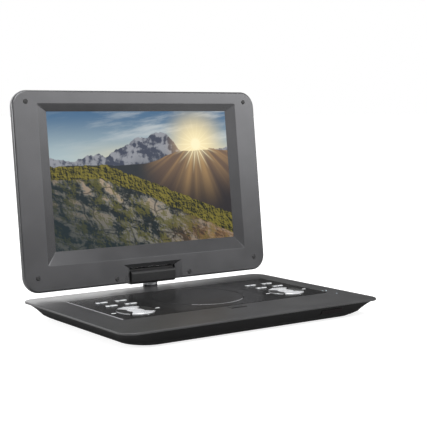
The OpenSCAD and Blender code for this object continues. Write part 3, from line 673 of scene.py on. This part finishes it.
def piece(name, shape, body, slot, *nodes, edge=0.25, paint=None):
    """Turns a shape in millimetres into a piece that rides on a body and stands for CAD nodes."""
    bmesh.ops.scale(shape, vec=(MM, MM, MM), verts=shape.verts)
    for e in shape.edges:
        e.smooth = e.calc_face_angle(0.0) < math.radians(SHARP_ANGLE)
    for f in shape.faces:
        f.smooth = True
    mesh = bpy.data.meshes.new(name)
    shape.to_mesh(mesh)
    shape.free()
    made = bpy.data.objects.new(name, mesh)
    bpy.context.scene.collection.objects.link(made)
    mesh.materials.append(materials[paint or slot])
    if edge:
        soften(made, edge)
    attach(made, body)
    if nodes:
        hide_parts(*nodes)
    return made


# ---------------------------------------------------------------- base

def flare(share):
    """Width, depth, corner radius and height of the base's lower skin at a share of its height,
    0 at the floor."""
    z = FOOT_H + share * (PARTING_Z - FOOT_H)
    knee = (KNEE_Z - FOOT_H) / (PARTING_Z - FOOT_H)
    if share < knee:
        t = share / knee
        side = SIDE_INSET + (KNEE_SIDE - SIDE_INSET) * t
        end = END_INSET + (KNEE_END - END_INSET) * t
        r = FOOT_R + (KNEE_R - FOOT_R) * t
    else:
        t = (share - knee) / (1 - knee)
        side = KNEE_SIDE + (LIP - KNEE_SIDE) * t + 1.1 * math.sin(math.pi * t)
        end = KNEE_END + (LIP - KNEE_END) * t + 0.5 * math.sin(math.pi * t)
        r = KNEE_R + (BASE_R - KNEE_R) * t
    return BASE_W - 2 * side, BASE_D - 2 * end, r, z


def floor_slot(w, d, at):
    """Cutter for a slot with round ends through the floor of the base."""
    slot = outline(w, d, d / 2 - 0.01, 4)
    return solid([level(slot, z, at) for z in (FOOT_H - 1, FLOOR_Z + 1)])


def base_lower_casing():
    outer = []
    w, d, r, z = flare(0)
    for inset, lift in ((1.2, 0), (0.5, 0.2), (0.1, 0.7)):
        outer.append(level(drawn_in(w, d, r, inset), z + lift))
    for i in range(2, FLARE_STEPS + 1):
        w, d, r, z = flare(i / FLARE_STEPS)
        outer.append(level(outline(w, d, r), z))
    inner = []
    for i in range(FLARE_STEPS, 2, -2):
        w, d, r, z = flare(i / FLARE_STEPS)
        inner.append(level(outline(w - 4 * WALL, d - 4 * WALL, r - 2 * WALL), z))
    w, d, r, z = flare(0)
    inner.append(level(outline(w - 3 * WALL, d - 3 * WALL, r - 1.5 * WALL), FLOOR_Z))
    shell = solid(outer + inner)

    rings = [flare(i / FLARE_STEPS) for i in range(3, FLARE_STEPS + 1)]
    block = solid([level(outline(w - 0.6, d - 0.6, r - 0.3), z) for w, d, r, z in rings])
    wall_box = slab((BAY_X - WALL, BAY_Y[0] - WALL, 0), (BASE_W, BAY_Y[1] + WALL, 30))
    bay_block = carved(block, ("INTERSECT", wall_box))
    pocket = slab((BAY_X, BAY_Y[0], BAY_Z[0]), (BASE_W, BAY_Y[1], BAY_Z[1]))
    shell = carved(shell, ("UNION", bay_block), ("DIFFERENCE", pocket))

    x0 = BAY_X - 5
    holes = []
    spare = 0.2
    for node in ("usb_port", "card_slot"):
        low, high = box_mm(node)
        holes.append(slab((x0, low.y - spare, low.z - spare),
                          (BAY_X + 1, high.y + spare, high.z + spare)))
    for node, r in (("headphone_jack", 3.1), ("av_jack", 3.1), ("dc_inlet", 4.1)):
        holes.append(rod((x0, middle_mm(node).y, PORT_Z), r, 6, "X"))
    at = middle_mm("power_switch").y
    holes.append(slab((x0, at - 3.3, PORT_Z - 1.2), (BAY_X + 1, at + 3.3, PORT_Z + 1.2)))
    at = middle_mm("volume_wheel").y
    holes.append(slab((x0, at - 7.8, PORT_Z - 1.7), (BAY_X + 1, at + 7.8, PORT_Z + 1.7)))
    window_low, window_high = box_mm("ir_window")
    holes.append(slab((window_low.x - 0.05, -BASE_D / 2 - 1, window_low.z - 0.05),
                      (window_high.x + 0.05, window_high.y + 3, window_high.z + 0.05)))
    for x in (-110, 110):
        holes += [floor_slot(20, 1.6, (x, -90 + 4 * i)) for i in range(-2, 3)]
    holes += [floor_slot(40, 2, (0, 50 + 6 * i)) for i in range(-3, 4)]
    shell = carved(shell, ("DIFFERENCE", joined(*holes)))
    counterbores = [rod((x, y, FOOT_H - 1), 3.3, 3.6) for x, y in CASE_SCREWS]
    bosses = [rod((x, y, FLOOR_Z - 0.5), 4.5, 12.5, edge=0.3) for x, y in CASE_SCREWS]
    shell = carved(shell, ("UNION", joined(*bosses)), ("DIFFERENCE", joined(*counterbores)))
    tower = turned([(8, 9), (10, 9), (10, PARTING_Z), (8, PARTING_Z)], (0, HINGE_Y, 0))
    shell = joined(shell, tower)
    return piece("base_lower_casing", shell, "base", "shell_plastic", "base_bottom_shell",
                 edge=0.18)


def base_upper_casing():
    panel = outline(PANEL_W, PANEL_D, 4)
    rings = [level(panel, DECK_UNDER - 0.1, (0, PANEL_Y))]
    inner_w, inner_d = BASE_W - 2 * LIP - 3 * WALL, BASE_D - 2 * LIP - 3 * WALL
    rings.append(level(outline(inner_w, inner_d, BASE_R - WALL), RIM_Z - DECK_T))
    rings.append(level(outline(inner_w, inner_d, BASE_R - WALL), PARTING_Z))
    for inset, z in ((1.2, PARTING_Z), (0.3, PARTING_Z + 0.25), (0, PARTING_Z + 0.7),
                     (0, RIM_Z - 1.4)):
        rings.append(level(drawn_in(BASE_W, BASE_D, BASE_R, inset), z))
    for i in range(1, 6):
        a = math.radians(90 * i / 5)
        inset, z = 2.2 * (1 - math.cos(a)), RIM_Z - 1.4 + 1.25 * math.sin(a)
        rings.append(level(drawn_in(BASE_W, BASE_D, BASE_R, inset), z))
    foot = outline(PANEL_W + 1.6, PANEL_D + 1.6, 4.8)
    rings.append(level(foot, DECK_Z - STEP - 0.05, (0, PANEL_Y)))
    rings.append(level(outline(PANEL_W + 1.2, PANEL_D + 1.2, 4.6), DECK_Z - STEP, (0, PANEL_Y)))
    rings.append(level(outline(PANEL_W + 0.2, PANEL_D + 0.2, 4.1), DECK_Z - 0.06, (0, PANEL_Y)))
    rings.append(level(outline(PANEL_W - 0.4, PANEL_D - 0.4, 3.8), DECK_Z, (0, PANEL_Y)))
    shell = solid(rings)

    gap = 0.3
    under, over = DECK_UNDER - 4, DECK_Z + 2  # the cutters' ends, clear of the deck
    lid_w, lid_d, lid_at = 2 * (LID_X + gap), PANEL_D + 0.9, (0, PANEL_Y + 0.15)
    cuts = [solid([level(outline(lid_w, lid_d, 1.4, 5), z, lid_at) for z in (under, over)])]
    for at in LEFT_KEYS + RIGHT_KEYS:
        hole = outline(PILL_L + 0.6, PILL_W + 0.6, PILL_W / 2 + 0.2, 8)
        cuts.append(solid([level(hole, z, (at.x, at.y)) for z in (under, over)]))
    for at in NAV_KEYS:
        cuts.append(rod((at.x, at.y, under), NAV_R + 0.4, 8, steps=96))
    for x, y in LAMPS:
        cuts.append(rod((x, y, under), 1.25, 8, steps=24))
    y0, y1 = LATCH_Y - LATCH_D / 2 - LATCH_TRAVEL - gap, LATCH_Y + LATCH_D / 2 + gap
    cuts.append(slab((-LATCH_W / 2 - gap, y0, under), (LATCH_W / 2 + gap, y1, over)))
    cuts.append(rod((0, HINGE_Y, PARTING_Z - 4), 5.3, 12))
    shell = carved(shell, ("UNION", rod((0, HINGE_Y, PARTING_Z), 10, 5.6, edge=0.4, steps=72)),
                   ("DIFFERENCE", joined(*cuts)))
    rim_low, rim_high = 21.4, DECK_UNDER + 0.2
    rim = solid([level(outline(lid_w + t, lid_d + t, 1.4 + t / 2, 5), z, lid_at)
                 for t, z in ((0, rim_low), (8, rim_low), (8, rim_high), (0, rim_high))],
                closed=True)
    made = piece("base_upper_casing", joined(shell, rim), "base", "deck_plastic",
                 "base_top_shell", edge=0.16)
    made.data.materials.append(materials["panel_plastic"])
    made.data.materials.append(materials["painted_highlight"])
    # painted highlight: the faces of the step along the raised panel's left edge take the light
    # grey, where that edge catches light
    for face in made.data.polygons:
        c = face.center / MM
        if c.z > DECK_Z - STEP + 0.02:
            face.material_index = 2 if c.z < DECK_Z - 0.01 and c.x < -PANEL_W / 2 + 0.3 else 1
    return made


def disc_lid_panel():
    low, high = (-LID_X, PANEL_FRONT), (LID_X, PANEL_BACK)
    w, d = high[0] - low[0], high[1] - low[1]
    at = (0, (low[1] + high[1]) / 2)
    plate = solid([level(outline(w - 2 * i, d - 2 * i, 1.2 - i, 5), z, at)
                   for i, z in ((0, DECK_UNDER), (0, DECK_Z - 0.25), (0.08, DECK_Z - 0.08),
                                (0.28, DECK_Z))])
    groove = [(RING_R - 0.8, DECK_Z + 0.1), (RING_R - 0.4, DECK_Z - 0.8),
              (RING_R + 0.4, DECK_Z - 0.85), (RING_R + 0.9, DECK_Z + 0.1)]
    cut = solid([level(ring(r, 128), z, (0, DISC_Y)) for r, z in groove], closed=True)
    plate = carved(plate, ("DIFFERENCE", cut))
    hinge_y, hinge_z = PANEL_BACK - 1.8, 23.6
    pins = [rod((s * (LID_X + 1.4) - 1.6, hinge_y, hinge_z), 1, 3.2, "X", 24, 0.15)
            for s in (-1, 1)]
    hook = slab((-5, PANEL_FRONT + 1, 19.8), (5, PANEL_FRONT + 2.6, DECK_UNDER + 0.3))
    made = piece("disc_lid_panel", joined(plate, *pins, hook), "lid", "lid_plastic", "disc_lid",
                 edge=0.08)
    made.data.materials.append(materials["painted_highlight"])
    # painted highlight: the groove's faces on the front part of the ring take the light grey, where
    # the groove catches light
    for face in made.data.polygons:
        c = face.center / MM
        out = math.hypot(c.x, c.y - DISC_Y)
        if abs(out - RING_R) < 1 and c.z < DECK_Z - 0.1 and c.y < DISC_Y - 0.74 * RING_R:
            face.material_index = 1
    return made


def pill_key(node):
    """Capsule key with a crowned top, split by a shallow cut into a round end and a bar."""
    at = middle_mm(node)
    body = f"{node}_body"
    steps = 10
    rings = [level(outline(PILL_L + 1.8, PILL_W + 1.8, PILL_W / 2 + 0.8, steps), z, (at.x, at.y))
             for z in (KEY_LOW, DECK_UNDER - 0.1)]
    for inset, z in ((0, DECK_UNDER - 0.1), (0, KEY_TOP - 0.8), (0.15, KEY_TOP - 0.4),
                     (0.5, KEY_TOP - 0.12), (1.1, KEY_TOP)):
        capsule = outline(PILL_L - 2 * inset, PILL_W - 2 * inset, PILL_W / 2 - 0.05 - inset, steps)
        rings.append(level(capsule, z, (at.x, at.y)))
    shape = solid(rings)
    start = at.x - PILL_L / 2
    cut = slab((start + 4.6, at.y - 4, KEY_TOP - 1.1), (start + 7.0, at.y + 4, KEY_TOP + 1))
    shape = carved(shape, ("DIFFERENCE", cut))
    stem = rod((at.x, at.y, 20.4), 1.2, 1.2, steps=24)
    made = piece(f"{node}_cap", joined(shape, stem), body, "key_plastic", node, edge=0.08)
    made.data.materials.append(materials["black_plastic"])
    for face in made.data.polygons:
        if face.center.z / MM < KEY_TOP - 0.9:
            face.material_index = 1
    return made


def nav_ring(side):
    """Round key in four pads: the front and back pads are bright, the side pads are dark."""
    node = f"{side}_nav_ring"
    at = middle_mm(node)
    r = NAV_R
    profile = [(11, KEY_LOW), (r + 1.5, KEY_LOW), (r + 1.5, DECK_UNDER - 0.1),
               (r, DECK_UNDER - 0.1), (r, KEY_TOP - 0.7), (r - 0.3, KEY_TOP - 0.25),
               (r - 1.0, KEY_TOP), (12.6, KEY_TOP - 0.05), (11.5, KEY_TOP - 0.35),
               (11, KEY_TOP - 0.9)]
    shape = solid([level(ring(q, 96), z, (at.x, at.y)) for q, z in profile], closed=True)
    cuts = []
    for a in (45, 135):
        bar = slab((-r - 2, -1.25, 24.4), (r + 2, 1.25, KEY_TOP + 2))
        turn = Matrix.Rotation(math.radians(a), 4, "Z")
        cuts.append(placed(bar, Matrix.Translation((at.x, at.y, 0)) @ turn))
    shape = carved(shape, ("DIFFERENCE", cuts[0]), ("DIFFERENCE", cuts[1]))
    made = piece(node + "_cap", shape, f"{node}_body", "key_plastic", node, edge=0.1)
    made.data.materials.append(materials["black_plastic"])
    for face in made.data.polygons:
        c = face.center / MM - at
        if abs(c.x) > abs(c.y) and face.center.z / MM > 24.3:
            face.material_index = 1
    return made


def ok_key(side):
    node = f"{side}_ok_key"
    low, high = box_mm(node)
    at = (low + high) / 2
    r = (high.x - low.x) / 2
    profile = [(r, low.z), (r, high.z - 0.7), (r - 0.2, high.z - 0.35), (r - 0.8, high.z - 0.08),
               (r - 2.4, high.z - 0.1), (r - 5.4, high.z - 0.35), (2.4, high.z - 0.5)]
    shape = solid([level(ring(q, 72), z, (at.x, at.y)) for q, z in profile])
    return piece(node + "_cap", shape, f"{node}_body", "key_plastic", node, edge=0)


# ---------------------------------------------------------------- screen

def screen_front_bezel():
    mid = SCREEN_H / 2
    rings = [upright(outline(SCREEN_W, SCREEN_H, SCREEN_R), BEZEL_T, mid)]
    rings.append(upright(outline(SCREEN_W, SCREEN_H, SCREEN_R), 2.6, mid))
    for i in range(1, 8):
        a = math.radians(90 * i / 7)
        inset, depth = 2.6 * (1 - math.cos(a)), 2.6 * (1 - math.sin(a))
        rings.append(upright(drawn_in(SCREEN_W, SCREEN_H, SCREEN_R, inset), depth, mid))
    slope_mid, slope_h = (SLOPE_V[0] + SLOPE_V[1]) / 2, SLOPE_V[1] - SLOPE_V[0]
    picture_mid = PICTURE_V + PICTURE_H / 2
    rings.append(upright(outline(SLOPE_W + 0.8, slope_h + 0.8, 2.4), 0, slope_mid))
    rings.append(upright(outline(SLOPE_W, slope_h, 2), 0.08, slope_mid))
    rings.append(upright(outline(SLOPE_W - 0.8, slope_h - 0.8, 1.8), 0.28, slope_mid))
    rings.append(upright(outline(PICTURE_W, PICTURE_H, 0.4), RECESS - 0.05, picture_mid))
    rings.append(upright(outline(PICTURE_W + 9, PICTURE_H + 9, 0.4), RECESS - 0.02, picture_mid))
    rings.append(upright(outline(PICTURE_W + 10, PICTURE_H + 13, 0.4), BEZEL_T, picture_mid))
    frame_part = solid(rings, closed=True)

    front = [(-BEVEL_W / 2, -6), (BEVEL_W / 2, -6), (BEVEL_W / 2, BEVEL_V), (-BEVEL_W / 2, BEVEL_V)]
    back = [(-NOTCH_W / 2, -6), (NOTCH_W / 2, -6), (NOTCH_W / 2, NOTCH_V), (-NOTCH_W / 2, NOTCH_V)]
    reach = 1.0
    grow = [(x * (1 + reach / BEVEL_D * (BEVEL_W - NOTCH_W) / BEVEL_W),
             v if v < 0 else v + reach / BEVEL_D * (BEVEL_V - NOTCH_V)) for x, v in front]
    chamfer = solid([[(x, d, v) for x, v in points]
                     for points, d in ((grow, -reach), (back, BEVEL_D), (back, 12))])
    cuts = [rod((x, -1, v), 3.15, 3.2, "Y", 40) for x, v in DOTS]
    cuts.append(rod((-65, HINGE_D, HINGE_V), 6.1, 130, "X"))
    frame_part = carved(frame_part, ("DIFFERENCE", chamfer), ("DIFFERENCE", joined(*cuts)))
    return piece("screen_front_bezel", placed(frame_part, TO_SCREEN), "screen", "bezel_plastic",
                 "screen_bezel", edge=0.22)


def screen_rear_cover():
    mid = SCREEN_H / 2
    inset_side, inset_top, low = 24, 24, 6
    depth = SCREEN_T - BEZEL_T

    def skin(share, shrink):
        """Outline of the cover at a share of its depth, pulled in by shrink."""
        w = SCREEN_W - 2 * inset_side * share - 2 * shrink
        h = SCREEN_H - (inset_top + low) * share - 2 * shrink
        v = mid + (low - inset_top) / 2 * share
        return outline(w, h, max(2, SCREEN_R - shrink)), v

    rings = []
    for share, shrink in ((0, 0), (0.06, 0.4), (0.5, 0.1), (0.90, 0), (0.965, 0.6), (0.99, 1.8),
                          (1, 3.6)):
        points, v = skin(share, shrink)
        rings.append(upright(points, BEZEL_T + depth * share, v))
    inside = []
    for share, shrink in ((-0.1, 2.4), (0, 2.5), (0.4, 3.4), (0.86, 4)):
        points, v = skin(share, shrink)
        inside.append(upright(points, BEZEL_T + depth * share, v))
    cover = carved(solid(rings), ("DIFFERENCE", solid(inside)))
    notch = slab((-NOTCH_W / 2, -6, -6), (NOTCH_W / 2, SCREEN_T + 6, NOTCH_V))
    cover = carved(cover, ("DIFFERENCE", notch))
    for s in (-1, 1):
        x0 = NOTCH_W / 2 if s > 0 else -62
        barrel = rod((x0, HINGE_D, HINGE_V), 8, 25, "X", 64, 0.6)
        front_cut = slab((-SCREEN_W, -30, -20), (SCREEN_W, BEZEL_T + 0.01, SCREEN_H + 20))
        barrel = carved(barrel, ("DIFFERENCE", front_cut))
        cover = carved(cover, ("UNION", barrel))
    for s in (-1, 1):
        hollow = rod((s * 50 - 10.4, HINGE_D, HINGE_V), 6.4, 20.8, "X")
        cover = carved(cover, ("DIFFERENCE", hollow))
    return piece("screen_rear_cover", placed(cover, TO_SCREEN), "screen", "cover_plastic",
                 "screen_back_cover", edge=0.25)


def hinge_block_body():
    """Rounded bar with a low hump along its top, which fills the screen's notch at every tilt."""
    low, high = box_mm("hinge_block")
    w, d, h = high - low
    at = (low + high) / 2
    bar_top = high.z - HUMP_R + BLOCK_UP
    h = bar_top - low.z
    at.z = (low.z + bar_top) / 2
    profile = outline(d, h, 4, 10)
    rings = []
    for inset, x in ((1.0, 0), (0.35, 0.15), (0, 0.8), (0, w - 0.8), (0.35, w - 0.15), (1.0, w)):
        scale_d, scale_h = (d - 2 * inset) / d, (h - 2 * inset) / h
        rings.append([(low.x + x, at.y + p * scale_d, at.z + q * scale_h) for p, q in profile])
    block = solid(rings)
    hump = []
    for inset, x in ((0.6, 0.2), (0, 0.9), (0, w - 0.9), (0.6, w - 0.2)):
        arc = [(low.x + x, HINGE_Y - HUMP_FRONT, HINGE_Z)]
        for i in range(25):
            y = -HUMP_FRONT + (HUMP_FRONT + 5) * i / 24
            arc.append((low.x + x, HINGE_Y + y, HINGE_Z + math.sqrt((HUMP_R - inset) ** 2 - y * y)))
        arc.append((low.x + x, HINGE_Y + 5, HINGE_Z))
        hump.append(arc)
    block = carved(block, ("UNION", solid(hump)))
    bore = rod((low.x - 1, HINGE_Y, HINGE_Z), 3, w + 2, "X")
    seat = rod((0, HINGE_Y, low.z - 1), 3, 6)
    block = carved(block, ("DIFFERENCE", bore), ("DIFFERENCE", seat))
    return piece("hinge_block_body", block, "neck", "hinge_plastic", "hinge_block", edge=0.15)


# ---------------------------------------------------------------- printed marks

def prism(points, z, height=0.12):
    return solid([level(points, z), level(points, z + height)])


def deck_marks():
    """Small plain signs beside the keys: bars and triangles, printed on the deck."""
    marks = []
    z = DECK_Z - 0.04

    def bar(x, y, w, d):
        marks.append(prism([(x + w / 2, y + d / 2), (x - w / 2, y + d / 2), (x - w / 2, y - d / 2),
                            (x + w / 2, y - d / 2)], z))

    def arrow(x, y, size, turn):
        points = []
        for a in (0, 130, 230):
            angle = math.radians(a + turn)
            points.append((x + size * math.cos(angle), y + size * math.sin(angle)))
        marks.append(prism(points, z))

    for at in LEFT_KEYS + RIGHT_KEYS:
        bar(at.x - 3.6, at.y + 6.2, 5.2, 0.7)
        bar(at.x + 2.2, at.y + 6.2, 3.2, 0.7)
    for at in NAV_KEYS:
        for s in (-1, 1):
            bar(at.x + s * 31, at.y, 6, 2.6)
        arrow(at.x, at.y + 28.6, 1.5, 90)
        arrow(at.x, at.y - 28.6, 1.5, -90)
    return piece("deck_marks", joined(*marks), "base", "lamp_plastic", edge=0, paint="mark_print")


# ---------------------------------------------------------------- the CAD nodes that stay

KEPT_SLOTS = {
    "disc_well": "well_plastic", "lid_latch": "deck_plastic", "loader_frame": "tin_plate",
    "loader_dampers": "rubber", "loader_screws": "screw_steel", "spindle_motor": "motor_steel",
    "spindle_hub": "black_plastic", "guide_rods": "steel", "pickup_sled": "black_plastic",
    "lead_screw": "steel", "sled_motor": "motor_steel", "main_board": "circuit_board",
    "battery_pack": "cell_foil", "left_key_board": "circuit_board",
    "right_key_board": "circuit_board", "left_speaker": "black_plastic",
    "right_speaker": "black_plastic", "headphone_jack": "black_plastic", "av_jack": "av_plastic",
    "dc_inlet": "black_plastic", "usb_port": "tin_plate", "card_slot": "tin_plate",
    "power_switch": "tin_plate", "power_knob": "black_plastic", "volume_pot": "black_plastic",
    "volume_wheel": "black_plastic", "ir_window": "window_plastic",
    "indicator_lights": "lamp_plastic", "rubber_feet": "rubber", "case_screws": "screw_steel",
    "swivel_bracket": "bracket_steel", "swivel_shaft": "bracket_steel", "swivel_washer": "steel",
    "swivel_clip": "steel", "tilt_shafts": "steel", "tilt_nuts": "screw_steel",
    "hinge_cable": "cable_jacket", "tilt_brackets": "bracket_steel", "lcd_panel": "screen_glass",
    "backlight_unit": "light_unit", "bezel_screws": "screw_steel",
    "screw_covers": "black_plastic",
}


def finish_kept_nodes():
    for name, slot in KEPT_SLOTS.items():
        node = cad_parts[name]
        node.data.materials.clear()
        node.data.materials.append(materials[slot])
        if name == "lcd_panel":
            continue
        weld = node.modifiers.new("weld", "WELD")
        weld.merge_threshold = 0.000002
        flat = node.modifiers.new("flat", "DECIMATE")
        flat.decimate_type = "DISSOLVE"
        flat.angle_limit = math.radians(0.5)
        soften(node, 0.12, angle=35)


# ---------------------------------------------------------------- put it together

aim_camera()
light_world()
lay_floor()
area_light("key", (0.0, -1.05, 1.15), (0, 0, 0), (0.9, 0.7), 13)
area_light("fill", (-2.0, 0.1, 0.7), (0, 0, 0.05), (1.2, 0.8), 26)
area_light("top", (0.0, 0.4, 2.0), (0, 0, 0), (1.8, 1.8), 18)

materials = make_materials()
lcd_low, lcd_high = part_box("lcd_panel")
screen_up = Vector((0, math.sin(LEAN), math.cos(LEAN)))
materials["screen_glass"] = landscape("screen_glass", lcd_low, lcd_high, screen_up)
materials["mark_print"] = surface("mark_print", (0.80, 0.81, 0.82), 0.5, grain=3000, height=0.004)
# a light grey painted highlight, laid on the raised panel's left edge and on the front of the lid's
# ring groove
materials["painted_highlight"] = surface("painted_highlight", (0.30, 0.30, 0.31), 0.4, grain=3000, height=0.004)

base_lower_casing()
base_upper_casing()
disc_lid_panel()
for side in ("left", "right"):
    for i in range(1, 5):
        pill_key(f"{side}_key_{i}")
    nav_ring(side)
    ok_key(side)
screen_front_bezel()
screen_rear_cover()
hinge_block_body()
deck_marks()
finish_kept_nodes()

bpy.context.scene.view_settings.view_transform = "Standard"
